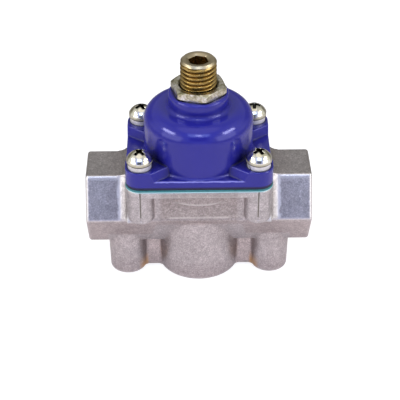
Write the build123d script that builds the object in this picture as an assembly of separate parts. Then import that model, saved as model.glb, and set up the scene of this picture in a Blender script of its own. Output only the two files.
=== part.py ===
from build123d import *
import os
from math import atan2, cos, degrees, hypot, pi, radians, sin

# Adjustable bypass fuel pressure regulator, in millimetres.
# X runs from the inlet port (-X) to the outlet port (+X) and Z is up along the adjusting screw. The
# origin is under that screw, on the face of the return port, which the regulator stands on. The pieces
# are made about the axis of the two side ports, at height 0, and lifted by port_height at the end.

# Hexagonal bar of the casting, which carries the inlet and the outlet
bar_length = 81.0
bar_across_flats = 28.6
bar_edge_round = 1.1

# Cover screws and the flanges that they hold together
screw_spacing_x = 41.4
screw_edge = 5.1
screw_size = 4.8
screw_hole_clearance = 0.2
screw_thread_clearance = 0.04
screw_grip = 9.0
screw_hole_spare = 2.0

# Upper block of the casting
seat_face_rise = 0.7
rim_thickness = 2.4
rim_edge_round = 0.4
wall_inset = 0.3
wall_start_height = 0.5
column_radius = 4.9
column_foot_height = 0.8
column_foot_round = 1.6
seam_groove_radius = 0.25
seam_groove_foot = 2.6
bulge_inset = 0.9
bulge_foot_height = 7.3
bulge_foot_round = 1.2
flare_length = 3.6
flare_rise = 2.6
flare_steps = 5

# Lower bosses and webs of the casting
port_height = 28.0
draft_angle = 1.2
return_boss_radius = 15.0
mount_boss_spacing = 52.8
mount_boss_radius = 6.7
mount_boss_reach = 4.1
web_half_width = 5.4
web_corner_round = 2.0
foot_edge_round = 0.8
boss_top_depth = 1.2
mount_hole_size = 5.1
mount_hole_depth = 12.0

# Ports, tapped for 3/8 inch pipe
port_bore = 14.6
port_mouth = 17.4
port_depth = 15.0
passage_bore = 10.4

# Fuel chamber, return post and seat
chamber_inset = 0.5
chamber_depth = 6.0
well_radius = 12.4
well_floor = 6.5
post_radius = 6.3
post_passage = 7.2
seat_bore = 4.8
seat_outer_radius = 4.5
seat_press_depth = 8.0
seat_stand_out = 3.2
seat_shoulder = 0.85
seat_lip_radius = 3.3

# Gasket, diaphragm and what clamps its middle
gasket_thickness = 1.1
gasket_overhang = 0.15
diaphragm_thickness = 0.45
plate_thickness = 1.2
lower_plate_radius = 10.5
upper_plate_radius = 11.5
pad_radius = 4.0
pad_thickness = 1.2
pad_stand_out = 0.3
pad_clearance = 0.03
pad_cup_wall = 1.4
rivet_shank = 3.6
rivet_clearance = 0.03
rivet_head_radius = 3.0
rivet_head_thickness = 0.7
pilot_height = 1.2
pilot_clearance = 0.3
pilot_wall = 1.8

# Main spring and the button on top of it
spring_mean_radius = 7.4
spring_wire = 1.6
spring_turns = 5.0
button_radius = 9.4
button_thickness = 1.8
button_nose_radius = 4.5
button_nose_height = 0.8
button_room = 2.65

# Cover
flange_thickness = 2.95
flange_edge_round = 0.45
flange_ledge = 0.2
pad_height = 6.35
corner_pad_radius = 6.2
corner_pad_foot_radius = 7.6
corner_pad_edge_round = 0.3
dome_radius = 19.4
dome_height = 21.85
dome_shoulder = 5.5
dome_foot_cove = 1.0
dome_wall = 3.0
dome_roof = 2.6
dome_inner_round = 2.5
neck_radius = 10.6
neck_height = 5.6
neck_edge_round = 0.8
neck_foot_cove = 1.3

# Adjusting screw and its jam nut
adjuster_size = 12.7
adjuster_stand_out = 12.5
adjuster_end_chamfer = 0.8
adjuster_clearance = 0.05
socket_across_flats = 6.35
socket_depth = 7.0
socket_turn = 43.0
nut_across_flats = 17.46
nut_thickness = 3.1
nut_corner_drop = 0.7
nut_turn = 44.0
nut_bore_chamfer = 0.8

# Cover screw heads and the split lock washers under them
head_radius = 4.5
head_height = 4.2
head_edge_height = 1.3
recess_radius = 2.7
recess_wing = 1.25
recess_depth = 2.3
recess_point = 0.8
washer_outer_radius = 4.15
washer_thickness = 2.1
washer_bore_clearance = 0.15
washer_gap = 0.7
washer_gap_slant = 30.0

# How far each screw's cross recess and each washer's gap is turned about its own axis
screw_turns = {"front_left": 48.0, "front_right": 32.0, "rear_left": 31.0, "rear_right": 88.0}
washer_turns = {"front_left": 95.0, "front_right": 212.0, "rear_left": 70.0, "rear_right": 130.0}

# Sizes that follow from those above
ground_up = (Align.CENTER, Align.CENTER, Align.MIN)
bar_half_height = bar_across_flats / 2
bar_vertex = bar_half_height / cos(radians(30))
seat_face_height = bar_half_height + seat_face_rise
flange_length = screw_spacing_x + 2 * screw_edge
flange_width = 2 * (dome_radius + dome_foot_cove + flange_ledge)
screw_spacing_y = flange_width - 2 * screw_edge
bulge_radius = dome_radius - bulge_inset
gasket_top = seat_face_height + gasket_thickness
cover_face_height = gasket_top + diaphragm_thickness
corner_pad_top = cover_face_height + pad_height
dome_top = cover_face_height + dome_height
neck_top = dome_top + neck_height
cavity_radius = dome_radius - dome_wall
chamber_radius = cavity_radius - chamber_inset
cavity_top = dome_top - dome_roof
plate_top = cover_face_height + plate_thickness
button_top = cavity_top - button_room
spring_top = button_top - button_thickness
spring_length = spring_top - plate_top
adjuster_foot = button_top + button_nose_height
adjuster_top = neck_top + adjuster_stand_out
adjuster_radius = adjuster_size / 2
adjuster_bore_radius = adjuster_radius + adjuster_clearance
pad_top = gasket_top - plate_thickness
pad_foot = pad_top - pad_thickness
seat_top = pad_foot
post_top = seat_top - seat_stand_out

corners = {
    "front_left": (-screw_spacing_x / 2, -screw_spacing_y / 2),
    "front_right": (screw_spacing_x / 2, -screw_spacing_y / 2),
    "rear_left": (-screw_spacing_x / 2, screw_spacing_y / 2),
    "rear_right": (screw_spacing_x / 2, screw_spacing_y / 2),
}


def rod(radius, low, high, x=0.0, y=0.0):
    """An upright cylinder between two heights."""
    return Pos(x, y, low) * Cylinder(radius, high - low, align=ground_up)


def cone(low_radius, high_radius, low, high, x=0.0, y=0.0):
    """An upright cone frustum between two heights."""
    return Pos(x, y, low) * Cone(low_radius, high_radius, high - low, align=ground_up)


def slab(sketch, low, high):
    """A flat outline given a thickness between two heights."""
    return Pos(0, 0, low) * extrude(sketch, high - low)


def flange_outline(grow=0.0):
    """The rounded rectangle that the casting, gasket, diaphragm and cover share."""
    return RectangleRounded(flange_length + 2 * grow, flange_width + 2 * grow, screw_edge + grow)


def screw_holes(radius, low, high):
    """One upright hole for each cover screw."""
    return [rod(radius, low, high, x, y) for x, y in corners.values()]


def round_of(points, radii):
    """A closed outline in the XZ plane, with some of its corners rounded in or out."""
    outline = make_face(Polyline(*points, close=True))
    for (x, z), radius in radii:
        corner = outline.vertices().sort_by_distance((x, z, 0))[0]
        outline = fillet(corner, radius)
    return Plane.XZ * outline


# The casting

def hexagonal_bar():
    """The through bar, with flats above and below and softly rounded edges."""
    section = Plane.YZ.offset(-bar_length / 2) * RegularPolygon(bar_vertex, 6)
    bar = extrude(section, bar_length)
    return fillet(bar.edges(), bar_edge_round)


def bar_flare(side):
    """The hollow-sided spread where the bar's upper half runs into the block."""
    root = flange_length / 2 - (screw_edge - column_radius)
    middle = screw_spacing_x / 2
    start = Plane.YZ.offset(middle) * RegularPolygon(bar_vertex + flare_rise, 6)
    rings = [extrude(start, root - middle)]
    for step in range(flare_steps):
        near = step / flare_steps
        far = (step + 1) / flare_steps
        rise_near = flare_rise * (1 - sin(near * pi / 2))
        rise_far = flare_rise * (1 - sin(far * pi / 2))
        reach_near = flare_length * (1 - cos(near * pi / 2))
        reach_far = flare_length * (1 - cos(far * pi / 2))
        inner = Plane.YZ.offset(root + reach_near) * RegularPolygon(bar_vertex + rise_near, 6)
        outer = Plane.YZ.offset(root + reach_far) * RegularPolygon(bar_vertex + rise_far, 6)
        rings.append(loft([inner, outer]))
    flare = rings[0].fuse(*rings[1:]).clean()
    keep = slab(Rectangle(bar_length, 2 * flange_width), column_foot_height, seat_face_height)
    flare = flare & keep
    return flare if side > 0 else mirror(flare, Plane.YZ)


def upper_block():
    """The block with its recessed walls, four screw columns, rim and diaphragm bulge."""
    wall_length = flange_length - 2 * (screw_edge - column_radius)
    wall_width = 2 * (bar_vertex - wall_inset)
    block = slab(Rectangle(wall_length, wall_width), wall_start_height, seat_face_height)
    for x, y in corners.values():
        column = rod(column_radius, column_foot_height, seat_face_height, x, y)
        block += fillet(column.edges().sort_by(Axis.Z)[0], column_foot_round)
    bulge = rod(bulge_radius, bulge_foot_height, seat_face_height)
    block += fillet(bulge.edges().sort_by(Axis.Z)[0], bulge_foot_round)
    rim = slab(flange_outline(), seat_face_height - rim_thickness, seat_face_height)
    block += fillet(rim.edges().group_by(Axis.Z)[0], rim_edge_round)
    return block


def lower_bosses():
    """The return boss, the two mounting bosses and the webs between them, drafted towards the feet."""
    boss_slot = SlotOverall(2 * (mount_boss_reach + mount_boss_radius), 2 * mount_boss_radius, rotation=90)
    outline = Circle(return_boss_radius) + Rectangle(mount_boss_spacing, 2 * web_half_width)
    for side in (-1, 1):
        outline += Pos(side * mount_boss_spacing / 2, 0) * boss_slot
    inner = [v for v in outline.vertices() if abs(abs(v.Y) - web_half_width) < 0.01]
    outline = fillet(inner, web_corner_round)
    height = port_height - boss_top_depth
    bosses = Pos(0, 0, -port_height) * extrude(outline, height, taper=-draft_angle)
    return fillet(bosses.edges().group_by(Axis.Z)[0], foot_edge_round)


def port_cut(depth):
    """A tapped port's bore with its chamfered mouth, from the origin along +Z into the metal."""
    mouth = (port_mouth - port_bore) / 2
    bore = rod(port_bore / 2, 0, depth)
    return bore + cone(port_mouth / 2, port_bore / 2, 0, mouth)


def body_casting():
    body = hexagonal_bar() + upper_block() + lower_bosses()
    for side in (-1, 1):
        body += bar_flare(side)
    # Fuel chamber under the diaphragm, with the return post left standing in its well
    well = rod(well_radius, -well_floor, seat_face_height) - rod(post_radius, -well_floor, post_top)
    body -= well + rod(chamber_radius, seat_face_height - chamber_depth, seat_face_height)
    # Side ports and the passages from them into the well
    for side in (-1, 1):
        body -= Pos(side * bar_length / 2, 0, 0) * Rot(0, -side * 90, 0) * port_cut(port_depth)
        passage = Rot(0, side * 90, 0) * rod(passage_bore / 2, 0, bar_length / 2)
        body -= passage - rod(post_radius, -bar_vertex, bar_vertex)
    # Return port and the stepped passage up to the seat
    body -= Pos(0, 0, -port_height) * port_cut(port_depth)
    body -= rod(post_passage / 2, -port_height, post_top)
    body -= rod(seat_outer_radius, post_top - seat_press_depth, post_top)
    # Tapped holes for the cover screws and for mounting
    tapped = screw_size / 2 + screw_thread_clearance
    body -= screw_holes(tapped, seat_face_height - screw_grip - screw_hole_spare, seat_face_height)
    hole = rod(mount_hole_size / 2, -port_height, mount_hole_depth - port_height)
    for side in (-1, 1):
        body -= Pos(side * mount_boss_spacing / 2, 0) * hole
    # Fine mould seam down the outer face of each column
    for x, y in corners.values():
        face = y + (column_radius if y > 0 else -column_radius)
        body -= rod(seam_groove_radius, seam_groove_foot, seat_face_height, x, face)
    return body


def return_seat():
    """Brass orifice pressed into the post, with a narrow lip that the valve pad closes."""
    seat = rod(seat_outer_radius, post_top - seat_press_depth, post_top + seat_shoulder)
    seat += cone(seat_outer_radius, seat_lip_radius, post_top + seat_shoulder, seat_top)
    return seat - rod(seat_bore / 2, post_top - seat_press_depth, seat_top)


# The diaphragm stack

def body_gasket():
    ring = slab(flange_outline(gasket_overhang), seat_face_height, gasket_top)
    ring -= rod(chamber_radius, seat_face_height, gasket_top)
    return ring - screw_holes(screw_size / 2 + screw_hole_clearance, seat_face_height, gasket_top)


def diaphragm():
    sheet = slab(flange_outline(), gasket_top, cover_face_height)
    sheet -= rod(rivet_shank / 2 + rivet_clearance, gasket_top, cover_face_height)
    return sheet - screw_holes(screw_size / 2 + screw_hole_clearance, gasket_top, cover_face_height)


def lower_diaphragm_plate():
    """Plate under the diaphragm, with a cup that holds the valve pad."""
    cup_foot = pad_foot + pad_stand_out
    plate = rod(lower_plate_radius, pad_top, gasket_top)
    plate += rod(pad_radius + pad_cup_wall, cup_foot, gasket_top)
    plate -= rod(pad_radius + pad_clearance, cup_foot, pad_top)
    plate -= rod(rivet_head_radius + pad_clearance, pad_top, pad_top + rivet_head_thickness)
    return plate - rod(rivet_shank / 2 + rivet_clearance, pad_top, gasket_top)


def upper_diaphragm_plate():
    """Plate above the diaphragm, with a raised ring that centres the spring."""
    pilot = spring_mean_radius - spring_wire / 2 - pilot_clearance
    plate = rod(upper_plate_radius, cover_face_height, plate_top)
    plate += rod(pilot, plate_top, plate_top + pilot_height)
    plate -= rod(pilot - pilot_wall, plate_top, plate_top + pilot_height)
    return plate - rod(rivet_shank / 2 + rivet_clearance, cover_face_height, plate_top)


def diaphragm_rivet():
    rivet = rod(rivet_shank / 2, pad_top, plate_top)
    rivet += rod(rivet_head_radius, pad_top, pad_top + rivet_head_thickness)
    head = rod(rivet_head_radius, plate_top, plate_top + rivet_head_thickness)
    return rivet + fillet(head.edges().sort_by(Axis.Z)[-1], rivet_head_thickness / 2)


def valve_pad():
    return rod(pad_radius, pad_foot, pad_top)


# The spring and its button

def main_spring():
    """Round wire coil with both ends ground flat."""
    path = Helix(spring_length / spring_turns, spring_length, spring_mean_radius)
    start = Plane(origin=path @ 0, x_dir=(1, 0, 0), z_dir=path % 0)
    coil = sweep(start * Circle(spring_wire / 2), path, is_frenet=True)
    outer = spring_mean_radius + spring_wire
    return Pos(0, 0, plate_top) * (coil & rod(outer, 0, spring_length))


def spring_button():
    """Upper spring seat, with a pilot in the coil and a nose that the adjusting screw pushes."""
    pilot = spring_mean_radius - spring_wire / 2 - pilot_clearance
    button = rod(button_radius, spring_top, button_top)
    button += rod(pilot, spring_top - pilot_height, spring_top)
    button -= rod(pilot - pilot_wall, spring_top - pilot_height, spring_top)
    return button + rod(button_nose_radius, button_top, adjuster_foot)


# The cover

def dome_shell():
    """The stepped dome, round its axis, before it is hollowed."""
    points = [
        (0, cover_face_height),
        (dome_radius + dome_foot_cove, cover_face_height),
        (dome_radius + dome_foot_cove, cover_face_height + flange_thickness),
        (dome_radius, cover_face_height + flange_thickness + dome_foot_cove),
        (dome_radius, dome_top),
        (neck_radius, dome_top),
        (neck_radius, neck_top),
        (0, neck_top),
    ]
    rounds = [
        ((dome_radius, dome_top), dome_shoulder),
        ((neck_radius, dome_top), neck_foot_cove),
        ((neck_radius, neck_top), neck_edge_round),
    ]
    dome = revolve(round_of(points, rounds), Axis.Z)
    cove_height = cover_face_height + flange_thickness + dome_foot_cove
    cove = Pos(0, 0, cove_height) * Torus(dome_radius + dome_foot_cove, dome_foot_cove)
    return dome - cove


def dome_cavity():
    """The room for the spring inside the dome."""
    points = [
        (0, cover_face_height),
        (cavity_radius, cover_face_height),
        (cavity_radius, cavity_top),
        (0, cavity_top),
    ]
    return revolve(round_of(points, [((cavity_radius, cavity_top), dome_inner_round)]), Axis.Z)


def corner_pad(x, y):
    """Raised pad under a cover screw, which runs into the dome and widens towards its foot."""
    low = cover_face_height + flange_thickness / 2
    run = hypot(x, y) - dome_radius + dome_wall
    section = make_face(Polyline(
        (-corner_pad_foot_radius, low),
        (corner_pad_foot_radius, low),
        (corner_pad_radius, corner_pad_top),
        (-corner_pad_radius, corner_pad_top),
        close=True,
    ))
    pad = extrude(Plane.YZ * section, run)
    pad += cone(corner_pad_foot_radius, corner_pad_radius, low, corner_pad_top)
    pad = Pos(x, y) * Rot(0, 0, degrees(atan2(-y, -x))) * pad
    pad = pad & slab(flange_outline(), low, corner_pad_top)
    return fillet(pad.edges().group_by(Axis.Z)[-1], corner_pad_edge_round)


def cover():
    flange = slab(flange_outline(), cover_face_height, cover_face_height + flange_thickness)
    flange = fillet(flange.edges().group_by(Axis.Z)[-1], flange_edge_round)
    shell = flange + dome_shell()
    for x, y in corners.values():
        shell += corner_pad(x, y)
    shell -= dome_cavity()
    shell -= rod(adjuster_bore_radius, cavity_top - dome_inner_round, neck_top)
    return shell - screw_holes(screw_size / 2 + screw_hole_clearance, cover_face_height, corner_pad_top)


# The adjusting screw and its nut

def adjusting_screw():
    """Stud at its thread's outer size, with a hexagon socket in its top."""
    length = adjuster_top - adjuster_foot
    stud = rod(adjuster_radius, 0, length)
    stud = chamfer(stud.edges().sort_by(Axis.Z)[0], adjuster_end_chamfer)
    stud = chamfer(stud.edges().group_by(Axis.Z)[-1], adjuster_end_chamfer)
    hexagon = RegularPolygon(socket_across_flats / 2, 6, major_radius=False, rotation=socket_turn)
    stud -= slab(hexagon, length - socket_depth, length)
    return Pos(0, 0, adjuster_foot) * stud


def jam_nut():
    """Thin hexagon nut, chamfered on both sides."""
    corner_radius = nut_across_flats / 2 / cos(radians(30))
    flat_radius = nut_across_flats / 2
    nut = slab(RegularPolygon(corner_radius, 6, rotation=nut_turn), neck_top, neck_top + nut_thickness)
    nut_top = neck_top + nut_thickness
    turned = cone(flat_radius, corner_radius, neck_top, neck_top + nut_corner_drop)
    turned += rod(corner_radius, neck_top + nut_corner_drop, nut_top - nut_corner_drop)
    turned += cone(corner_radius, flat_radius, nut_top - nut_corner_drop, nut_top)
    nut = nut & turned
    nut -= rod(adjuster_bore_radius, neck_top, nut_top)
    mouth = adjuster_bore_radius + nut_bore_chamfer
    return nut - cone(adjuster_bore_radius, mouth, nut_top - nut_bore_chamfer, nut_top)


# The cover's fasteners

def cover_screw(turn):
    """Pan head screw with a cross recess, its head's underside at height 0."""
    rise = head_height - head_edge_height
    crown_radius = (head_radius ** 2 + rise ** 2) / (2 * rise)
    section = make_face([
        Line((0, 0), (head_radius, 0)),
        Line((head_radius, 0), (head_radius, head_edge_height)),
        RadiusArc((head_radius, head_edge_height), (0, head_height), -crown_radius),
        Line((0, head_height), (0, 0)),
    ])
    head = revolve(Plane.XZ * section, Axis.Z)
    low = head_height - recess_depth
    wings = Rectangle(2 * recess_radius, recess_wing) + Rectangle(recess_wing, 2 * recess_radius)
    recess = slab(wings, low, head_height) & cone(recess_point, recess_radius, low, head_height)
    head -= Rot(0, 0, turn) * recess
    shank_length = washer_thickness + corner_pad_top - seat_face_height + screw_grip
    return head + rod(screw_size / 2, -shank_length, 0)


def lock_washer(turn):
    """Square section spring washer, cut through at a slant, resting at height 0."""
    bore = screw_size / 2 + washer_bore_clearance
    ring = rod(washer_outer_radius, 0, washer_thickness) - rod(bore, 0, washer_thickness)
    reach = washer_outer_radius - bore + 2 * washer_gap
    middle = (washer_outer_radius + bore) / 2
    height = 2 * washer_thickness / cos(radians(washer_gap_slant))
    cut = Pos(middle, 0, washer_thickness / 2) * Rot(washer_gap_slant, 0, 0) * Box(reach, washer_gap, height)
    return ring - Rot(0, 0, turn) * cut


def all_parts():
    """Every piece, in its place, by its node's name."""
    parts = {
        "body_casting": body_casting(),
        "return_seat": return_seat(),
        "body_gasket": body_gasket(),
        "diaphragm": diaphragm(),
        "lower_diaphragm_plate": lower_diaphragm_plate(),
        "upper_diaphragm_plate": upper_diaphragm_plate(),
        "diaphragm_rivet": diaphragm_rivet(),
        "valve_pad": valve_pad(),
        "main_spring": main_spring(),
        "spring_button": spring_button(),
        "cover": cover(),
        "adjusting_screw": adjusting_screw(),
        "jam_nut": jam_nut(),
    }
    for corner, (x, y) in corners.items():
        washer_top = corner_pad_top + washer_thickness
        parts["lock_washer_" + corner] = Pos(x, y, corner_pad_top) * lock_washer(washer_turns[corner])
        parts["cover_screw_" + corner] = Pos(x, y, washer_top) * cover_screw(screw_turns[corner])
    return {name: Pos(0, 0, port_height) * part for name, part in parts.items()}


os.makedirs("parts", exist_ok=True)
for name, part in all_parts().items():
    export_step(part, f"parts/{name}.step")
    print(name, round(part.volume, 1))
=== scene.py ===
import math

import bmesh
import bpy
import numpy as np
from mathutils import Euler, Matrix, Vector, noise


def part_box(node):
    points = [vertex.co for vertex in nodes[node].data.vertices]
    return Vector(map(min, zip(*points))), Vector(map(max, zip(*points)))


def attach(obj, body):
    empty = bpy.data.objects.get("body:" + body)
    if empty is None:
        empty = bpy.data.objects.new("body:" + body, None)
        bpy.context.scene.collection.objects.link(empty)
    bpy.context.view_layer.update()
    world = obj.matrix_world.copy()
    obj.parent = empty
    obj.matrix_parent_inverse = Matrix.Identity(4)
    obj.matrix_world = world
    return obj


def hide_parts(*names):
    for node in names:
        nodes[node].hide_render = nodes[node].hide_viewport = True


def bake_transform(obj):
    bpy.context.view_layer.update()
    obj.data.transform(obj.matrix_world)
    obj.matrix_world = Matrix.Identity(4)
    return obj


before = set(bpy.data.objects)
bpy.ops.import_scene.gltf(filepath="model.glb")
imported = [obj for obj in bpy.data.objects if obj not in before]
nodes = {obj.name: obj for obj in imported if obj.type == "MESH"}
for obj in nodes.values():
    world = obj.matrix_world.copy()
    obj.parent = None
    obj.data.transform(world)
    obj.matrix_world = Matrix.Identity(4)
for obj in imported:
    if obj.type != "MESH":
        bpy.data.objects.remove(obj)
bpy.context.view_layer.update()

MM = 0.001


def mm(*lengths):
    """Lengths given in millimetres, as metres."""
    return tuple(length * MM for length in lengths)


# Sizes shared with the CAD model, in metres, and the turn of the socket in degrees
PORT_HEIGHT = 28.0 * MM
BAR_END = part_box("body_casting")[1].x
BAR_FLAT = 25.4 * 9 / 16 * MM
BAR_TOP = PORT_HEIGHT + BAR_FLAT
PORT_BORE = 7.3 * MM
CHAMBER_RADIUS = 16.5 * MM
STUD_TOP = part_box("adjusting_screw")[1].z
STUD_RADIUS = 6.35 * MM
STUD_PITCH = 25.4 / 16 * MM
STUD_CHAMFER = 0.8 * MM
SOCKET_ACROSS_FLATS = 6.35 * MM
SOCKET_DEPTH = 7.0 * MM
SOCKET_TURN = 43.0
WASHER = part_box("lock_washer_front_right")
COLUMN_ACROSS = WASHER[0].x / 2 + WASHER[1].x / 2
CORNER_PAD_TOP = WASHER[0].z
COVER_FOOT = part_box("cover")[0].z
FLANGE_HEIGHT = 3.1 * MM
GASKET_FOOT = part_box("body_gasket")[0].z
HEAD_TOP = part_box("cover_screw_front_left")[1].z
HEAD_RIM = HEAD_TOP - 3.2 * MM
HEAD_FOOT = HEAD_TOP - 4.2 * MM

# Only the dressed adjusting screw has these: lead-in, sides, countersink, drill point, thread start and
# run-out
STUD_LEAD = 0.8 * MM
STUD_SIDES = 96
SINK_RADIUS = 4.1 * MM
SINK_DEPTH = 0.65 * MM
SINK_EDGE = 0.1 * MM
SINK_RING = 0.25 * MM
DRILL_POINT = 1.2 * MM
THREAD_PHASE = 0.57
THREAD_RUN_OUT = 0.3 * STUD_PITCH

# Outline of the screw's thread: place and depth, both in pitches
THREAD = (
    (0.0, 0.0), (0.0625, 0.012), (0.125, 0.0), (0.28, -0.27),
    (0.4375, -0.541), (0.5625, -0.57), (0.6875, -0.541), (0.8437, -0.27),
)

# Pipe threads: pitch, depth in the port where they begin and end, height, sides, sleeve, and outline in
# pitches
PORT_PITCH = 25.4 / 18 * MM
PORT_MOUTH = 1.4 * MM
PORT_THREADED = 13.0 * MM
PORT_THREAD_HEIGHT = 0.75 * MM
PORT_SIDES = 72
SLEEVE_INSIDE = 0.02 * MM
SLEEVE_OUTSIDE = 0.08 * MM
PIPE_THREAD = ((0.0, 0.0), (0.4, 1.0), (0.6, 1.0))

# Turns of thread that are laid out before a thread's start, and in all beyond its length
TURNS_BEFORE = 2
TURNS_SPARE = 3

# Meshes: what counts as one point, from which angle an edge is sharp, and how finely soft pieces are cut
MERGE = 0.001 * MM
CREASE = math.radians(32)
SOFT_CREASE = math.radians(40)
SHEET_SLICES = 8
SPRING_SLICES = 24
WEDGES = 8

# Scale of a noise whose lumps are one metre across
NOISE_SCALE = 0.6

# Fades of the casting's colour: where each begins and where it is full. Across is the distance from the
# middle along the bar, out is the distance from the middle to the front or rear, and up is the height.
# Painted shade on the recessed walls and the bar's lower faces, and painted light on the webs' faces
WALL_ACROSS = mm(14.5, 13.0)
WALL_UP = mm(26.0, 28.0)
WALL_OUT = mm(14.0, 15.0)
LOWER_BODY = (PORT_HEIGHT + 1.0 * MM, PORT_HEIGHT - 2.0 * MM)
LOWER_FACES = (PORT_HEIGHT + 0.3 * MM, PORT_HEIGHT - 0.7 * MM)
RETURN_BOSS_ACROSS = mm(15.5, 17.0)
BOSS_TOPS = mm(25.4, 18.3)
ABOVE_BOSS = mm(-0.5, 0.5)
PAST_BOSSES = mm(33.0, 33.8)
WEB_ACROSS = mm(20.2, 19.2)
WEB_UP = mm(18.0, 16.0)
WEB_OUT = mm(6.6, 5.8)
# Painted highlights on the bulge's lip and on the wall's ledge
BULGE_LIP = 35.9 * MM
BULGE_BAND = mm(0.9, 0.3)
BULGE_ACROSS = mm(9.5, 5.5)
LEDGE = 29.2 * MM
LEDGE_BAND = mm(0.55, 0.2)
LEDGE_ACROSS = mm(12.0, 10.0)
STAIN_INNER = mm(18.6, 19.4)
STAIN_OUTER = mm(22.4, 20.6)
STAIN_UP = mm(6.5, 2.0)
# Painted shade of the parting line's groove on the screw columns
SEAM_BAND = mm(0.42, 0.2)
SEAM_UP = mm(32.0, 32.3)
SEAM_OUT = mm(18.2, 18.6)
# Height above which the worn and partly painted highlight of the edges weakens
RIM_UP = mm(40.5, 41.3)
# Painted highlight on the ragged flares, and on the borders of the upper faces, which are partly worn
RAGGED = 2.6 * MM
FLARE_OUTER = mm(30.7, 30.2)
FLARE_INNER = mm(26.4, 27.6)
FLARE_RISE = mm(28.7, 29.5)
BORDER_TOP = (BAR_TOP - 1.3 * MM, BAR_TOP - 0.5 * MM)
BORDER_FOOT = (PORT_HEIGHT + 1.5 * MM, PORT_HEIGHT + 0.9 * MM)
BORDER_END = (BAR_END - 1.3 * MM, BAR_END - 0.7 * MM)
UPPER_FACE_FOOT = (PORT_HEIGHT - 0.3 * MM, PORT_HEIGHT + 0.3 * MM)
UPPER_FACE_TOP = (BAR_TOP - 0.1 * MM, BAR_TOP - 0.3 * MM)

# Fades of the cover's enamel, among them its painted shade under the flange and its painted highlight along
# the flange's edges, and its roundings below and above the corner pads
UNDER_FLANGE = (COVER_FOOT + 0.9 * MM, COVER_FOOT + 0.45 * MM)
DOME_SHOULDER = (CORNER_PAD_TOP + 7 * MM, CORNER_PAD_TOP + 10 * MM)
ABOVE_PADS = (CORNER_PAD_TOP + 0.5 * MM, CORNER_PAD_TOP + 2.0 * MM)
ENAMEL_ROUNDS = mm(0.5, 1.3)
# Painted highlight along the flange's upper edges
GLINT_BAND = mm(0.24, 0.06)
GLINT_ACROSS = mm(16.0, 15.4)
GLINT_OUT = mm(19.7, 20.1)

# Fades of the smaller pieces, among them the painted shadow at the foot of the screw heads and the painted
# highlight on the gasket's lower lip
STUD_TIP = (STUD_TOP - 1.2 * MM, STUD_TOP - 0.5 * MM)
HEAD_RIM_BAND = mm(0.25, -0.25)
HEAD_GAP_SHADE_BAND = mm(0.34, 0.2)
# Painted highlight on the gasket's lower lip
GASKET_LIP_HIGHLIGHT = (GASKET_FOOT + 0.55 * MM, GASKET_FOOT + 0.25 * MM)

# Light of the room, by direction
FRONT = (0.55, 0.63, 1.19)
FRONT_GAP = (0.10, 0.11, 0.14)
BEHIND = (0.48, 0.47, 0.46)
BEHIND_LOW = (0.20, 0.19, 0.15)
BESIDE = (0.88, 0.86, 0.83)
ABOVE = (1.15, 1.08, 1.00)

# White paper: its glow and its colour, to light the object, in mirrors near and far, and to the camera
PAPER_LIGHTING = ((0, 0, 0), (0.76, 0.72, 0.72))
PAPER_MIRRORED = ((0.30, 0.30, 0.30), (0.62, 0.555, 0.56))
PAPER_MIRRORED_FAR = ((0.05, 0.05, 0.045), (0.32, 0.30, 0.28))
PAPER_SEEN = ((0.80, 0.80, 0.80), (0.35, 0.35, 0.35))

# Paper sweep: how far its floor lies under the object, and its radii and height
FLOOR_DROP = 0.2 * MM
FLOOR_INNER_RADIUS = 0.4
FLOOR_RADIUS = 1.0
SWEEP_CURVE = 0.35
SWEEP_TOP = 0.62
SWEEP_SIDES = 96

# Lamps: direction from what they aim at, distance, size, power and colour
LAMP_AIM = Vector((0, 0, 0.04))
WHITE = (1, 1, 1)
LAMPS = {
    "left_box": ((-0.74, -0.22, 0.63), 0.6, (0.27, 0.12), 1.05, WHITE),
    "right_box": ((0.74, -0.22, 0.63), 0.6, (0.27, 0.12), 1.05, WHITE),
    "left_fill": ((-0.80, -0.52, 0.28), 0.7, (0.52, 0.44), 1.0, WHITE),
    "right_fill": ((0.80, -0.52, 0.28), 0.7, (0.52, 0.44), 1.0, WHITE),
    "front_box": ((0, -0.57, 0.82), 0.8, (0.48, 0.26), 1.05, (0.62, 0.80, 1.0)),
    "front_strip": ((0, -0.57, 0.82), 0.78, (0.15, 0.06), 0.4, WHITE),
}


def make_camera():
    """Camera at the photograph's place: elevation, turn and distance fitted to points of the photo."""
    elevation = math.radians(35.083)
    turn = math.radians(1.065)
    distance = 439.59 * MM
    aim_right, aim_up = mm(-0.546, 2.011)
    right = Vector((1, 0, 0))
    up = Vector((0, math.sin(elevation), math.cos(elevation)))
    back = Vector((0, -math.cos(elevation), math.sin(elevation)))
    unturn = Matrix.Rotation(-turn, 3, "Z")
    axes = [unturn @ axis for axis in (right, up, back)]
    place = axes[0] * -aim_right + axes[1] * -aim_up + axes[2] * distance
    place.z += PORT_HEIGHT
    camera = bpy.data.objects.new("camera", bpy.data.cameras.new("camera"))
    bpy.context.scene.collection.objects.link(camera)
    camera.matrix_world = Matrix(
        [[axes[column][row] for column in range(3)] + [place[row]] for row in range(3)] + [[0, 0, 0, 1]]
    )
    camera.data.sensor_width = 36.0
    camera.data.lens = 107.3
    camera.data.clip_start = 0.01
    camera.data.clip_end = 20.0
    bpy.context.scene.camera = camera


# Helpers for node trees

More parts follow.
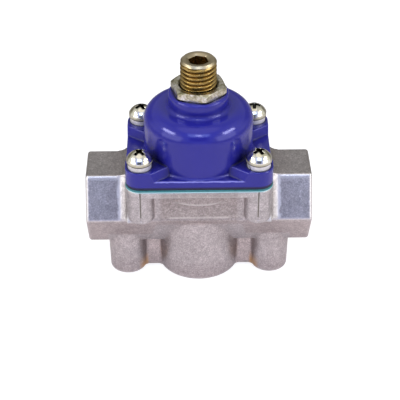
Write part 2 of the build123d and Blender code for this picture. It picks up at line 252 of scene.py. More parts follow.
class Nodes:
    """Short calls for the nodes of a material or of the world."""

    def __init__(self, tree, place):
        self.tree = tree
        self.place = self.add("TexCoord").outputs[place]
        self.x, self.y, self.z = self.add("SeparateXYZ", Vector=self.place).outputs

    def add(self, kind, **values):
        """A new node, with values or links for its named inputs."""
        node = self.tree.nodes.new("ShaderNode" + kind)
        for name, value in values.items():
            self.put(value, node.inputs[name])
        return node

    def put(self, value, socket):
        """Links another node's output to a socket, or sets the socket to a number or colour."""
        if isinstance(value, bpy.types.NodeSocket):
            self.tree.links.new(value, socket)
        elif socket.type == "RGBA":
            socket.default_value = (*value, 1.0)
        else:
            socket.default_value = value

    def mix(self, kind, amount, a, b):
        """Two colours mixed. Inputs 6 and 7 and output 2 are the node's sockets for colours."""
        node = self.add("Mix")
        node.data_type = "RGBA"
        node.blend_type = kind
        self.put(amount, node.inputs[0])
        self.put(a, node.inputs[6])
        self.put(b, node.inputs[7])
        return node.outputs[2]

    def math(self, kind, a, b=0.0):
        node = self.add("Math")
        node.operation = kind
        self.put(a, node.inputs[0])
        self.put(b, node.inputs[1])
        return node.outputs["Value"]

    def times(self, *values):
        product = values[0]
        for value in values[1:]:
            product = self.math("MULTIPLY", product, value)
        return product

    def most(self, *values):
        greatest = values[0]
        for value in values[1:]:
            greatest = self.math("MAXIMUM", greatest, value)
        return greatest

    def away(self, value, place=0.0):
        """How far a value is from a place, on either side."""
        if place:
            value = self.math("SUBTRACT", value, place)
        return self.math("ABSOLUTE", value)

    def span(self, value, low, high, to_low=0.0, to_high=1.0, smooth=False):
        """A value carried from one range to another, and held at its ends."""
        node = self.add("MapRange")
        if smooth:
            node.interpolation_type = "SMOOTHSTEP"
        for number, entry in enumerate((value, low, high, to_low, to_high)):
            self.put(entry, node.inputs[number])
        return node.outputs["Result"]


class Surface(Nodes):
    """A material, and calls for what its colour, gloss and relief follow."""

    def __init__(self, name, colour, metallic, roughness):
        self.material = bpy.data.materials.new(name)
        self.material.use_nodes = True
        super().__init__(self.material.node_tree, "Object")
        self.shader = self.tree.nodes["Principled BSDF"]
        self.set("Base Color", colour)
        self.set("Metallic", metallic)
        self.set("Roughness", roughness)

    def set(self, name, value):
        self.put(value, self.shader.inputs[name])

    def noise(self, size, detail, roughness):
        """Noise whose lumps are about that many metres across."""
        scale = NOISE_SCALE / size
        node = self.add("TexNoise", Vector=self.place, Scale=scale, Detail=detail, Roughness=roughness)
        return node.outputs["Fac"]

    def ramp(self, value, *stops):
        """Colours or greys between given places of a value."""
        node = self.add("ValToRGB", Fac=value)
        elements = node.color_ramp.elements
        while len(elements) < len(stops):
            elements.new(0.5)
        for element, (place, colour) in zip(elements, stops):
            element.position = place
            element.color = (*colour, 1.0) if hasattr(colour, "__len__") else (colour, colour, colour, 1.0)
        return node.outputs["Color"]

    def tinted(self, colour, tint, amount=1.0):
        """A colour multiplied by a tint, as far as the amount says."""
        return self.mix("MULTIPLY", amount, colour, tint)

    def coated(self, colour, coat, amount):
        """A colour covered by a coat, as far as the amount says."""
        return self.mix("MIX", amount, colour, coat)

    def rounded(self, radius):
        """A normal that rounds the sharp edges and corners by this radius."""
        node = self.add("Bevel", Radius=radius)
        node.samples = 6
        return node.outputs["Normal"]

    def openness(self, reach, inside=False, alone=True):
        """1 on open ground and less in hollows, or less on outer edges when looking inside."""
        node = self.add("AmbientOcclusion", Distance=reach)
        node.samples = 8
        node.only_local = alone
        node.inside = inside
        return node.outputs["AO"]

    def bump(self, height, depth, normal=None):
        """Relief of that depth in metres, laid over a given normal."""
        node = self.add("Bump", Strength=1.0, Distance=depth, Height=height)
        if normal is not None:
            self.put(normal, node.inputs["Normal"])
        self.set("Normal", node.outputs["Normal"])


# Materials

def lower_bar(s, across):
    """The bar's lower faces, above and beside the bosses, where painted shade goes."""
    above = s.math("SUBTRACT", s.z, s.span(across, *RETURN_BOSS_ACROSS, *BOSS_TOPS))
    bar = s.most(s.span(above, *ABOVE_BOSS), s.span(across, *PAST_BOSSES))
    return s.times(bar, s.span(s.z, *LOWER_FACES))


def wall_highlights(s, across, out):
    """Painted highlights on the lip of the bulge under the rim and on the ledge at the wall's foot."""
    lip = s.times(s.span(s.away(s.z, BULGE_LIP), *BULGE_BAND), s.span(across, *BULGE_ACROSS))
    ledge = s.times(s.span(s.away(s.z, LEDGE), *LEDGE_BAND), s.span(across, *LEDGE_ACROSS, 0.0, 0.8))
    return s.times(s.most(lip, ledge), s.span(out, *WALL_OUT), 0.45)


def rust(s, across, patch):
    """Stains low between the mounting bosses and their webs."""
    between = s.times(s.span(across, *STAIN_INNER), s.span(across, *STAIN_OUTER))
    return s.times(between, s.span(s.z, *STAIN_UP), s.span(patch, 0.3, 0.5, 0.4, 0.8))


def highlit_flare_and_borders(s, across):
    """Painted highlight on the ragged flare between hexagon and column, and on the borders of the hexagons'
    upper faces, which are partly worn.
    """
    ragged = s.times(s.noise(1.4 * MM, 3, 0.6), RAGGED)
    flared = s.math("ADD", across, ragged)
    inner = s.span(flared, *FLARE_INNER)
    flare = s.times(s.span(flared, *FLARE_OUTER), inner, s.span(flared, *FLARE_RISE, 0.0, 0.62))
    height = s.math("ADD", s.z, s.times(ragged, 0.35))
    border = s.most(s.span(height, *BORDER_TOP), s.span(height, *BORDER_FOOT), s.span(across, *BORDER_END))
    upper = s.times(s.span(s.z, *UPPER_FACE_FOOT), s.span(s.z, *UPPER_FACE_TOP))
    return s.times(upper, s.most(s.times(border, inner, 0.5), flare))


def cast_aluminium():
    """Sand-grained casting, with painted shade in its hollows and under the flange, and worn bright on its
    edges, partly as painted highlight.
    """
    s = Surface("cast_aluminium", (0.42, 0.39, 0.39), 1.0, 0.4)
    across = s.away(s.x)
    out = s.away(s.y)
    grain = s.noise(0.3 * MM, 3, 0.7)
    speck = s.noise(0.16 * MM, 2, 0.6)
    patch = s.noise(7 * MM, 3, 0.6)
    colour = s.ramp(
        grain, (0.3, (0.345, 0.328, 0.332)), (0.5, (0.462, 0.437, 0.441)), (0.7, (0.68, 0.65, 0.655))
    )
    colour = s.tinted(colour, s.ramp(patch, (0.3, 0.9), (0.7, 1.06)))
    colour = s.tinted(colour, s.ramp(s.noise(1.0 * MM, 2, 0.6), (0.35, 0.89), (0.65, 1.08)))
    # Painted shade: darker in the hollows and under the cover's flange
    painted_shade = s.ramp(
        s.openness(9 * MM, alone=False),
        (0.25, (0.92, 0.88, 0.87)), (0.85, (0.90, 0.88, 0.88)), (1.0, (1, 1, 1)),
    )
    colour = s.tinted(colour, painted_shade)
    # Painted shade makes the recessed walls and the lower faces darker and warmer, and painted light makes
    # the webs' faces a little lighter
    wall = s.times(s.span(across, *WALL_ACROSS), s.span(s.z, *WALL_UP))
    web = s.times(s.span(across, *WEB_ACROSS), s.span(s.z, *WEB_UP), s.span(out, *WEB_OUT))
    colour = s.tinted(colour, (0.81, 0.78, 0.76), wall)
    colour = s.tinted(colour, (0.97, 0.95, 0.94), s.span(s.z, *LOWER_BODY))
    colour = s.tinted(colour, (0.91, 0.865, 0.85), lower_bar(s, across))
    colour = s.tinted(colour, (1.13, 1.10, 1.08), web)
    # Painted highlights on the bulge's lip and the wall's ledge
    colour = s.coated(colour, (0.74, 0.72, 0.70), wall_highlights(s, across, out))
    colour = s.coated(colour, (0.52, 0.29, 0.11), rust(s, across, patch))
    # Painted shade of the parting line's groove down the outer face of each screw column
    seam_shade = s.span(s.away(across, COLUMN_ACROSS), *SEAM_BAND)
    seam_shade = s.times(seam_shade, s.span(s.z, *SEAM_UP), s.span(out, *SEAM_OUT))
    colour = s.coated(colour, (0.19, 0.18, 0.16), seam_shade)
    # Edges are worn bright, those of the rim less; the brightening is partly wear and partly a painted
    # highlight
    edge = s.math("ADD", s.openness(1.8 * MM, inside=True), s.times(grain, 0.3))
    edge = s.times(s.span(edge, 1.0, 0.72), s.span(s.z, *RIM_UP, 0.65, 0.25))
    colour = s.coated(colour, (0.80, 0.785, 0.78), s.most(edge, highlit_flare_and_borders(s, across)))
    s.set("Base Color", colour)
    s.set("Roughness", s.span(speck, 0.3, 0.7, 0.32, 0.46))
    s.bump(s.math("ADD", grain, s.times(speck, 0.5)), 0.026 * MM, s.rounded(0.9 * MM))
    return s.material


def blue_enamel():
    """Glossy enamel with painted shade in its hollows and painted highlights on its ridges, dull and with
    painted shade under the flange.
    """
    s = Surface("cover_enamel", (0.03, 0.029, 0.23), 0.0, 0.18)
    s.set("Specular IOR Level", 0.7)
    s.set("Specular Tint", (0.6, 0.6, 1.0))
    patch = s.noise(9 * MM, 2, 0.5)
    hollow = s.openness(1.2 * MM, alone=False)
    under = s.span(s.z, *UNDER_FLANGE)
    colour = s.ramp(patch, (0.3, (0.0135, 0.0135, 0.203)), (0.7, (0.0175, 0.0165, 0.226)))
    # Painted shade: darker in the valleys and hollows, and nearly black under the flange
    valley = s.ramp(s.openness(6 * MM, alone=False), (0.3, (0.22, 0.22, 0.26)), (0.8, (1, 1, 1)))
    colour = s.tinted(colour, valley)
    colour = s.tinted(colour, s.ramp(hollow, (0.45, (0.08, 0.08, 0.12)), (0.85, (1, 1, 1))))
    colour = s.coated(colour, (0.003, 0.003, 0.016), s.times(under, 0.9))
    # Painted highlight on the ridges
    ridge = s.math("ADD", s.openness(0.8 * MM, inside=True), s.times(patch, 0.15))
    colour = s.coated(colour, (0.16, 0.155, 0.52), s.span(ridge, 0.75, 0.5, 0.0, 0.12))
    # Painted highlight along the long upper edges of the flange
    broken = s.math("ADD", s.z, s.times(s.noise(1.2 * MM, 3, 0.6), 0.5 * MM))
    edge_glint = s.span(s.away(broken, COVER_FOOT + FLANGE_HEIGHT), *GLINT_BAND)
    edge_glint = s.times(edge_glint, s.span(s.away(s.x), *GLINT_ACROSS), s.span(s.away(s.y), *GLINT_OUT))
    s.set("Base Color", s.coated(colour, (0.30, 0.30, 0.72), s.times(edge_glint, 0.6)))
    # The dome's top is the glossiest, and its edges are rounder than those of the flange and its pads
    gloss = s.span(s.z, *DOME_SHOULDER, 0.19, 0.115)
    s.set("Roughness", s.most(gloss, s.times(under, 0.6), s.span(hollow, 0.93, 0.6, 0.0, 0.55)))
    s.bump(s.noise(1.6 * MM, 1, 0.4), 0.006 * MM, s.rounded(s.span(s.z, *ABOVE_PADS, *ENAMEL_ROUNDS)))
    return s.material


def plated(name, light, dark, roughness, depth=0.006 * MM, edge=0.15 * MM, metallic=1.0,
           recess=None, rim=None, foot=None):
    """Plated or drawn metal: an uneven film of colour, with painted shade in its joints.

    A recess reach adds painted shade in its recesses, a rim height dulls what lies below it, and a foot
    height paints a shadow into the gap there.
    """
    s = Surface(name, light, metallic, roughness)
    film = s.noise(2.2 * MM, 3, 0.6)
    fine = s.noise(0.8 * MM, 3, 0.7)
    colour = s.ramp(film, (0.35, dark), (0.65, light))
    # Painted shade where it meets other parts
    joint = s.ramp(s.openness(0.7 * MM, alone=False), (0.35, (0.03, 0.027, 0.02)), (0.65, (1, 1, 1)))
    colour = s.tinted(colour, joint)
    gloss = s.span(fine, 0.3, 0.7, roughness * 0.8, roughness * 1.3)
    if recess:
        # Painted shade in the recesses
        hollow = s.ramp(s.openness(recess), (0.72, (0.012, 0.011, 0.009)), (0.97, (1, 1, 1)))
        colour = s.tinted(colour, hollow)
    if rim:
        below = s.span(s.math("SUBTRACT", s.z, rim), *HEAD_RIM_BAND)
        colour = s.coated(colour, (0.40, 0.37, 0.25), s.times(below, 0.8))
        gloss = s.coated(gloss, (0.42, 0.42, 0.42), below)
        s.set("Metallic", s.span(below, 0.0, 1.0, 1.0, 0.45))
    if foot:
        # Painted shadow in the gap at the foot
        colour = s.coated(colour, (0.035, 0.03, 0.02), s.span(s.away(s.z, foot), *HEAD_GAP_SHADE_BAND))
    s.set("Base Color", colour)
    s.set("Roughness", gloss)
    s.bump(fine, depth, s.rounded(edge))
    return s.material


def yellow_zinc():
    """Yellow chromate on a turned thread: gold, with olive and brown clouds and painted shade in the thread
    roots and the socket.
    """
    s = Surface("adjuster_yellow_zinc", (0.6, 0.42, 0.16), 1.0, 0.24)
    film = s.noise(3.0 * MM, 3, 0.6)
    tip = s.span(s.z, *STUD_TIP)
    colour = s.ramp(film, (0.3, (0.28, 0.22, 0.09)), (0.5, (0.50, 0.34, 0.10)), (0.7, (0.60, 0.43, 0.17)))
    colour = s.coated(colour, (0.42, 0.39, 0.30), s.times(tip, 0.75))
    # Painted shade in the thread roots, beside other parts and down the socket
    painted_shade = s.ramp(s.openness(1.4 * MM, alone=False), (0.3, (0.08, 0.05, 0.02)), (0.85, (1, 1, 1)))
    hollow = s.ramp(s.openness(5 * MM), (0.25, (0.12, 0.09, 0.06)), (0.6, (1, 1, 1)))
    s.set("Base Color", s.tinted(s.tinted(colour, painted_shade), hollow))
    s.set("Roughness", s.coated(s.span(film, 0.3, 0.7, 0.30, 0.20), (0.36, 0.36, 0.36), tip))
    s.bump(s.noise(2.5 * MM, 2, 0.5), 0.002 * MM, s.rounded(0.12 * MM))
    return s.material


def mottled_zinc():
    """Worn yellow chromate on a cold formed nut, blotched olive and grey."""
    s = Surface("nut_zinc", (0.7, 0.66, 0.52), 1.0, 0.32)
    film = s.noise(1.3 * MM, 4, 0.7)
    spots = s.noise(0.45 * MM, 3, 0.7)
    colour = s.ramp(film, (0.34, (0.25, 0.235, 0.13)), (0.5, (0.53, 0.505, 0.38)), (0.66, (0.80, 0.79, 0.76)))
    colour = s.tinted(colour, s.ramp(spots, (0.32, (0.55, 0.53, 0.46)), (0.5, (1, 1, 1))))
    # Painted shade in the hollows and where other parts meet it
    painted_shade = s.ramp(s.openness(1.2 * MM, alone=False), (0.3, (0.06, 0.05, 0.03)), (0.6, (1, 1, 1)))
    s.set("Base Color", s.tinted(colour, painted_shade))
    s.set("Roughness", s.span(spots, 0.3, 0.7, 0.42, 0.22))
    s.bump(s.math("ADD", film, spots), 0.02 * MM, s.rounded(0.25 * MM))
    return s.material


def matt_rubber(name, light, dark, roughness):
    """Rubber with a fine and dull surface."""
    s = Surface(name, light, 0.0, roughness)
    fine = s.noise(0.5 * MM, 3, 0.7)
    s.set("Base Color", s.ramp(fine, (0.35, dark), (0.65, light)))
    s.bump(fine, 0.03 * MM)
    return s.material


def gasket_fibre():
    """Teal fibre sheet, dark teal all over, with a painted highlight along its lower lip."""
    s = Surface("gasket_teal", (0.08, 0.35, 0.36), 0.0, 0.45)
    fine = s.noise(0.7 * MM, 3, 0.7)
    colour = s.ramp(fine, (0.3, (0.012, 0.11, 0.13)), (0.7, (0.03, 0.19, 0.21)))
    s.set("Base Color", s.coated(colour, (0.45, 0.78, 0.80), s.span(s.z, *GASKET_LIP_HIGHLIGHT)))
    s.bump(fine, 0.02 * MM)
    return s.material


# Helpers for meshes

def dress(obj, made):
    obj.data.materials.clear()
    obj.data.materials.append(made)


def ring_point(radius, angle, height):
    return (radius * math.cos(angle), radius * math.sin(angle), height)


def placed(obj, made, crease):
    """Puts an object in the scene, smoothly shaded, with its edges sharp from the crease angle on."""
    bpy.context.scene.collection.objects.link(obj)
    dress(obj, made)
    obj.data.shade_smooth()
    obj.data.set_sharp_from_angle(angle=crease)
    return obj


def clean(data):
    """Joins points that coincide, drops empty faces and turns all faces outwards."""
    work = bmesh.new()
    work.from_mesh(data)
    bmesh.ops.remove_doubles(work, verts=work.verts, dist=MERGE)
    bmesh.ops.dissolve_degenerate(work, edges=work.edges, dist=MERGE / 10)
    bmesh.ops.recalc_face_normals(work, faces=work.faces)
    work.to_mesh(data)
    work.free()


def mesh_object(name, points, faces, made):
    data = bpy.data.meshes.new(name)
    data.from_pydata(points, [], faces)
    data.validate()
    clean(data)
    return placed(bpy.data.objects.new(name, data), made, CREASE)


# Threaded pieces

def thread_depth(turn_part):
    """How deep the screw's thread is, in pitches, at a part of a turn."""
    places = [place for place, _ in THREAD] + [1.0]
    depths = [depth for _, depth in THREAD] + [THREAD[0][1]]
    return np.interp(turn_part % 1.0, places, depths)


def helix_faces(sides, rows, marks):
    """Faces between neighbouring columns of a helix, which climbs by one turn's marks where it closes."""
    faces = []
    for i in range(sides):
        after = (i + 1) % sides
        shift = marks if after == 0 else 0
        for j in range(rows - 1 - shift):
            a, b = i * rows + j, after * rows + j + shift
            faces.append((a, b, b + 1, a + 1))
    return faces


def adjusting_screw(made):
    """Stud with a chamfered lead-in at its top, a rounded rim and a countersunk hexagon socket."""
    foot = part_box("adjusting_screw")[0].z
    top = STUD_TOP
    start = math.radians(SOCKET_TURN)
    angles = [start + 2 * math.pi * i / STUD_SIDES for i in range(STUD_SIDES)]
    marks = len(THREAD)
    rows = (math.ceil((top - foot) / STUD_PITCH) + TURNS_SPARE) * marks
    points = []
    for i, angle in enumerate(angles):
        turned = i / STUD_SIDES + THREAD_PHASE
        for j in range(rows):
            z = foot + STUD_PITCH * (j // marks - TURNS_BEFORE + THREAD[j % marks][0] + turned)
            z = min(max(z, foot), top)
            below = top - z
            grown = min(max((below - STUD_LEAD) / THREAD_RUN_OUT, 0), 1)
            radius = STUD_RADIUS + grown * STUD_PITCH * thread_depth((z - foot) / STUD_PITCH - turned)
            radius = min(radius, STUD_RADIUS - STUD_LEAD + below, STUD_RADIUS - STUD_CHAMFER + z - foot)
            points.append(ring_point(radius, angle, z))
    faces = helix_faces(STUD_SIDES, rows, marks)
    # From the rim inwards: flat ring, countersink, the hexagon's walls and its drilled floor
    rings = [
        (STUD_RADIUS - STUD_LEAD, top),
        (SINK_RADIUS + SINK_RING, top),
        (SINK_RADIUS, top - SINK_EDGE),
        (None, top - SINK_DEPTH),
        (None, top - SOCKET_DEPTH),
    ]
    first = len(points)
    for radius, z in rings:
        for angle in angles:
            sector = math.degrees(angle - start) % 60.0
            reach = radius or SOCKET_ACROSS_FLATS / 2 / math.cos(math.radians(sector - 30.0))
            points.append(ring_point(reach, angle, z))
    last = first + (len(rings) - 1) * STUD_SIDES
    tip = len(points)
    points.append((0, 0, top - SOCKET_DEPTH - DRILL_POINT))
    points.append((0, 0, foot))
    base = len(points)
    for i, angle in enumerate(angles):
        radius = STUD_RADIUS + STUD_PITCH * thread_depth(-i / STUD_SIDES - THREAD_PHASE)
        points.append(ring_point(min(STUD_RADIUS - STUD_CHAMFER, radius), angle, foot))
    for i in range(STUD_SIDES):
        after = (i + 1) % STUD_SIDES
        for a in range(first, last, STUD_SIDES):
            faces.append((a + i, a + after, a + STUD_SIDES + after, a + STUD_SIDES + i))
        faces.append((last + i, last + after, tip))
        faces.append((base + after, base + i, tip + 1))
    return mesh_object("adjusting_screw_threaded", points, faces, made)


def port_thread(name, made, place, turn):
    """Internal pipe thread of a port, on a thin sleeve let into the bore's wall."""
    angles = [2 * math.pi * i / PORT_SIDES for i in range(PORT_SIDES)]
    marks = len(PIPE_THREAD)
    length = PORT_THREADED - PORT_MOUTH
    rows = (math.ceil(length / PORT_PITCH) + TURNS_SPARE) * marks
    points = []
    for i, angle in enumerate(angles):
        for j in range(rows):
            mark, tall = PIPE_THREAD[j % marks]
            along = PORT_PITCH * (j // marks - TURNS_BEFORE + mark + i / PORT_SIDES)
            along = min(max(along, 0), length)
            fade = min(along / PORT_PITCH, (length - along) / PORT_PITCH, 1)
            radius = PORT_BORE - SLEEVE_INSIDE - tall * fade * PORT_THREAD_HEIGHT
            points.append(ring_point(radius, angle, PORT_MOUTH + along))
    faces = helix_faces(PORT_SIDES, rows, marks)
    outer = len(points)
    for depth in (PORT_MOUTH, PORT_THREADED):
        points += [ring_point(PORT_BORE + SLEEVE_OUTSIDE, angle, depth) for angle in angles]
    for i in range(PORT_SIDES):
        after = (i + 1) % PORT_SIDES
        a, b = outer + i, outer + after
        faces.append((a, i * rows, after * rows, b))
        faces.append((a + PORT_SIDES, b + PORT_SIDES, (after + 1) * rows - 1, (i + 1) * rows - 1))
        faces.append((a, b, b + PORT_SIDES, a + PORT_SIDES))
    thread = mesh_object(name, points, faces, made)
    thread.data.transform(Matrix.Translation(place) @ turn.to_matrix().to_4x4())
    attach(thread, "housing")


# Soft and flexing pieces

def softened(name, made, edge, sway):
    """A soft piece: its CAD form with rounded edges and a slightly uneven rim."""
    obj = nodes[name].copy()
    obj.name = name + "_soft"
    obj.data = obj.data.copy()
    work = bmesh.new()
    work.from_mesh(obj.data)
    bmesh.ops.remove_doubles(work, verts=work.verts, dist=MERGE)
    bmesh.ops.dissolve_limit(work, angle_limit=math.radians(1), verts=work.verts, edges=work.edges)
    sharp = [e for e in work.edges if e.is_manifold and e.calc_face_angle() > math.radians(45)]
    bmesh.ops.bevel(work, geom=sharp, offset=edge, segments=3, profile=0.5, affect="EDGES")
    bmesh.ops.triangulate(work, faces=work.faces)
    longest = 2.5 * MM
    bmesh.ops.subdivide_edges(work, edges=[e for e in work.edges if e.calc_length() > longest], cuts=3)
    bmesh.ops.triangulate(work, faces=work.faces)
    lumps_per_metre = 260
    for vert in work.verts:
        flat = Vector((vert.co.x, vert.co.y, 0))
        if flat.length > 1 * MM:
            pull = 0.5 * (1 + noise.noise(vert.co * lumps_per_metre))
            vert.co -= flat.normalized() * (sway * pull)
    work.to_mesh(obj.data)
    work.free()
    return placed(obj, made, SOFT_CREASE)


def every_part(work):
    return work.verts[:] + work.edges[:] + work.faces[:]


def cut_piece(name, source, cuts, slices):
    """A copy of a closed mesh without what lies past each cut plane, closed again.

    It has a row of points at each slice, so that it can bend there.
    """
    work = bmesh.new()
    work.from_mesh(source.data)
    bmesh.ops.remove_doubles(work, verts=work.verts, dist=MERGE)
    for place, normal in cuts:
        found = bmesh.ops.bisect_plane(
            work, geom=every_part(work), plane_co=place, plane_no=normal, clear_outer=True
        )
        edge = [e for e in found["geom_cut"] if isinstance(e, bmesh.types.BMEdge)]
        bmesh.ops.holes_fill(work, edges=edge, sides=0)
    for place, normal in slices:
        bmesh.ops.bisect_plane(work, geom=every_part(work), plane_co=place, plane_no=normal)
    bmesh.ops.triangulate(work, faces=work.faces)
    bmesh.ops.recalc_face_normals(work, faces=work.faces)
    data = bpy.data.meshes.new(name)
    work.to_mesh(data)
    work.free()
    return placed(bpy.data.objects.new(name, data), source.data.materials[0], SOFT_CREASE)


def flexing_sheet(source):
    """The diaphragm in wedges, each sliced in rings from past the plate's edge out to the clamped rim."""
    past_plate = 0.5 * MM
    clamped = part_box("upper_diaphragm_plate")[1].x + past_plate
    half = math.pi / WEDGES
    held = CHAMBER_RADIUS * math.cos(half)
    for i in range(WEDGES):
        angle = (2 * i + 1) * half
        way = Vector((math.cos(angle), math.sin(angle), 0))
        cuts = [
            ((0, 0, 0), (math.sin(angle - half), -math.cos(angle - half), 0)),
            ((0, 0, 0), (-math.sin(angle + half), math.cos(angle + half), 0)),
        ]
        reaches = [clamped + (held - clamped) * step / SHEET_SLICES for step in range(SHEET_SLICES + 1)]
        wedge = cut_piece(f"diaphragm_wedge_{i + 1}", source, cuts, [(way * reach, way) for reach in reaches])
        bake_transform(wedge)
        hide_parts("diaphragm")


def flexing_spring():
    """The spring in two halves: one ends on the valve's plate and the other under the button."""
    low, high = (corner.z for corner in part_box("main_spring"))
    middle = (low + high) / 2
    up = (0, 0, 1)
    heights = [low + (high - low) * step / SPRING_SLICES for step in range(1, SPRING_SLICES)]
    lower_slices = [((0, 0, z), up) for z in heights[:SPRING_SLICES // 2 - 1]]
    upper_slices = [((0, 0, z), up) for z in heights[SPRING_SLICES // 2:]]
    lower = cut_piece("main_spring_lower", nodes["main_spring"], [((0, 0, middle), up)], lower_slices)
    upper = cut_piece("main_spring_upper", nodes["main_spring"], [((0, 0, middle), (0, 0, -1))], upper_slices)
    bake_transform(lower)
    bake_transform(upper)
    for half in (lower, upper):
        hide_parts("main_spring")


# Lights, floor and background

def soft_light(name, direction, distance, size, power, colour):
    """A rectangular lamp that looks at the aim from a direction and a distance."""
    data = bpy.data.lights.new(name, "AREA")
    data.shape = "RECTANGLE"
    data.size, data.size_y = size
    data.energy = power
    data.color = colour
    obj = bpy.data.objects.new(name, data)
    bpy.context.scene.collection.objects.link(obj)
    way = Vector(direction).normalized()
    obj.location = LAMP_AIM + way * distance
    obj.rotation_mode = "QUATERNION"
    obj.rotation_quaternion = way.to_track_quat("Z", "Y")


def make_world():
    """A pale room that is bluer low in front, grey behind and bright overhead.

    Each blend goes from one light to the next between two values of a direction's x, y or z.
    """
    world = bpy.data.worlds.new("studio")
    bpy.context.scene.world = world
    world.use_nodes = True
    world.node_tree.nodes.clear()
    room = Nodes(world.node_tree, "Generated")

    def blend(value, low, high, below, above):
        return room.mix("MIX", room.span(value, low, high, smooth=True), below, above)

    side = room.away(room.x)
    light = blend(side, 0.26, 0.36, FRONT_GAP, FRONT)
    light = blend(room.z, 0.58, 0.66, light, FRONT)
    light = blend(room.y, -0.7, 0.3, light, BEHIND)
    light = blend(side, 0.42, 0.56, light, BESIDE)
    light = blend(room.y, 0.2, 0.6, light, BEHIND)
    light = blend(room.z, 0.88, 0.95, light, ABOVE)
    background = room.add("Background", Color=light).outputs["Background"]
    room.add("OutputWorld", Surface=background)


def paper_white():
    """White paper. In mirrors its walls are bright at the sides, grey behind and dark low in front."""
    s = Surface("paper_white", (1, 1, 1), 0.0, 1.0)
    s.tree.nodes.remove(s.shader)

    def paper(glow, colour):
        light = s.add("Emission", Color=glow).outputs["Emission"]
        shade = s.add("BsdfDiffuse", Color=colour).outputs["BSDF"]
        both = s.add("AddShader")
        s.put(light, both.inputs[0])
        s.put(shade, both.inputs[1])
        return both.outputs["Shader"]

    def choose(switch, a, b):
        mix = s.add("MixShader", Fac=switch)
        s.put(a, mix.inputs[1])
        s.put(b, mix.inputs[2])
        return mix.outputs["Shader"]

    # The ranges are places on the paper, in metres
    side = s.away(s.x)
    wall = s.mix("MIX", s.span(s.y, -1.1, 0.4), FRONT, BEHIND)
    wall = s.mix("MIX", s.span(side, 0.55, 0.72), wall, BESIDE)
    wall = s.mix("MIX", s.span(s.y, 0.25, 0.8), wall, BEHIND_LOW)
    gap = s.times(s.span(side, 0.48, 0.36), s.span(s.z, 0.34, 0.40), s.span(s.y, -0.9, -1.0))
    wall = s.mix("MIX", gap, wall, FRONT_GAP)
    raised = s.span(s.z, 0.01, 0.1)
    far = s.most(s.span(s.y, 0.01, 0.10), s.span(side, 0.13, 0.24))
    glow = s.mix("MIX", raised, s.mix("MIX", far, PAPER_MIRRORED[0], PAPER_MIRRORED_FAR[0]), wall)
    shade = s.mix("MIX", raised, s.mix("MIX", far, PAPER_MIRRORED[1], PAPER_MIRRORED_FAR[1]), (0, 0, 0))
    rays = s.add("LightPath").outputs
    mirrored = s.most(rays["Is Glossy Ray"], rays["Is Transmission Ray"])
    shader = choose(mirrored, paper(*PAPER_LIGHTING), paper(glow, shade))
    shader = choose(rays["Is Camera Ray"], shader, paper(*PAPER_SEEN))
    s.put(shader, s.tree.nodes["Material Output"].inputs["Surface"])
    return s.material


def make_sweep():
    """White paper floor that curves up all round, so every view has a plain pale ground."""
    floor = -FLOOR_DROP
    profile = [(0.0, floor), (FLOOR_INNER_RADIUS, floor), (FLOOR_RADIUS, floor)]
    for angle in np.radians(range(10, 91, 10)):
        rise = SWEEP_CURVE - SWEEP_CURVE * math.cos(angle)
        profile.append((FLOOR_RADIUS + SWEEP_CURVE * math.sin(angle), floor + rise))
    profile.append((FLOOR_RADIUS + SWEEP_CURVE, SWEEP_TOP))
    angles = [2 * math.pi * i / SWEEP_SIDES for i in range(SWEEP_SIDES)]
    points = [ring_point(radius, angle, height) for radius, height in profile for angle in angles]
    faces = []
    for a in range(0, len(points) - SWEEP_SIDES, SWEEP_SIDES):
        for i in range(SWEEP_SIDES):
            after = (i + 1) % SWEEP_SIDES
            faces.append((a + i, a + after, a + after + SWEEP_SIDES, a + i + SWEEP_SIDES))
    sweep = mesh_object("paper_sweep", points, faces, paper_white())


make_camera()
make_world()
make_sweep()
for name, lamp in LAMPS.items():
    soft_light(name, *lamp)
bpy.context.scene.view_settings.view_transform = "Standard"

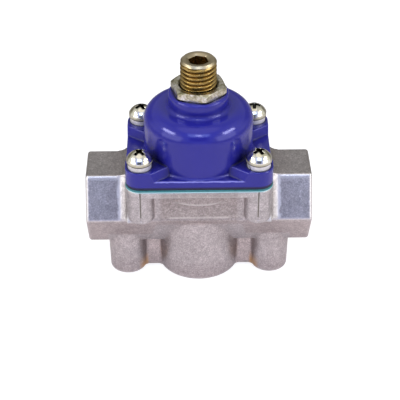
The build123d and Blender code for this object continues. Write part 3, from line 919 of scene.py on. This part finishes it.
brass = plated("turned_brass", (0.78, 0.58, 0.26), (0.66, 0.47, 0.2), 0.3)
steel = plated("pressed_steel", (0.62, 0.62, 0.63), (0.5, 0.5, 0.52), 0.35)
wire = plated("spring_wire", (0.55, 0.55, 0.57), (0.42, 0.42, 0.45), 0.3)
bored = plated("bored_aluminium", (0.62, 0.61, 0.60), (0.50, 0.49, 0.48), 0.3)
teal = gasket_fibre()
black_sheet = matt_rubber("diaphragm_rubber", (0.010, 0.010, 0.020), (0.006, 0.006, 0.012), 0.6)
gold = yellow_zinc()
head_zinc = plated(
    "screw_zinc", (0.80, 0.79, 0.71), (0.60, 0.58, 0.43), 0.13, depth=0.002 * MM, edge=0.5 * MM,
    recess=3 * MM, rim=HEAD_RIM, foot=HEAD_FOOT,
)
washer_zinc = plated(
    "washer_zinc", (0.76, 0.75, 0.76), (0.60, 0.59, 0.57), 0.36, depth=0.003 * MM, edge=0.4 * MM,
    metallic=0.45, foot=HEAD_FOOT,
)
looks = {
    "body_casting": cast_aluminium(),
    "return_seat": brass,
    "body_gasket": teal,
    "diaphragm": black_sheet,
    "lower_diaphragm_plate": steel,
    "upper_diaphragm_plate": steel,
    "diaphragm_rivet": brass,
    "valve_pad": matt_rubber("pad_rubber", (0.03, 0.03, 0.03), (0.02, 0.02, 0.02), 0.7),
    "main_spring": wire,
    "spring_button": steel,
    "cover": blue_enamel(),
    "adjusting_screw": gold,
    "jam_nut": mottled_zinc(),
}
for name, obj in nodes.items():
    if name.startswith("cover_screw"):
        dress(obj, head_zinc)
    elif name.startswith("lock_washer"):
        dress(obj, washer_zinc)
    else:
        dress(obj, looks[name])

stud = adjusting_screw(gold)
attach(stud, "adjuster")
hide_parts("adjusting_screw")

port_thread("inlet_thread", bored, (-BAR_END, 0, PORT_HEIGHT), Euler((0, math.pi / 2, 0)))
port_thread("outlet_thread", bored, (BAR_END, 0, PORT_HEIGHT), Euler((0, -math.pi / 2, 0)))
port_thread("return_thread", bored, (0, 0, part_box("body_casting")[0].z), Euler((0, 0, 0)))

gasket = softened("body_gasket", teal, 0.25 * MM, 0.05 * MM)
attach(gasket, "housing")
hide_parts("body_gasket")
sheet = softened("diaphragm", black_sheet, 0.12 * MM, 0.10 * MM)
flexing_sheet(sheet)
bpy.data.objects.remove(sheet)
flexing_spring()
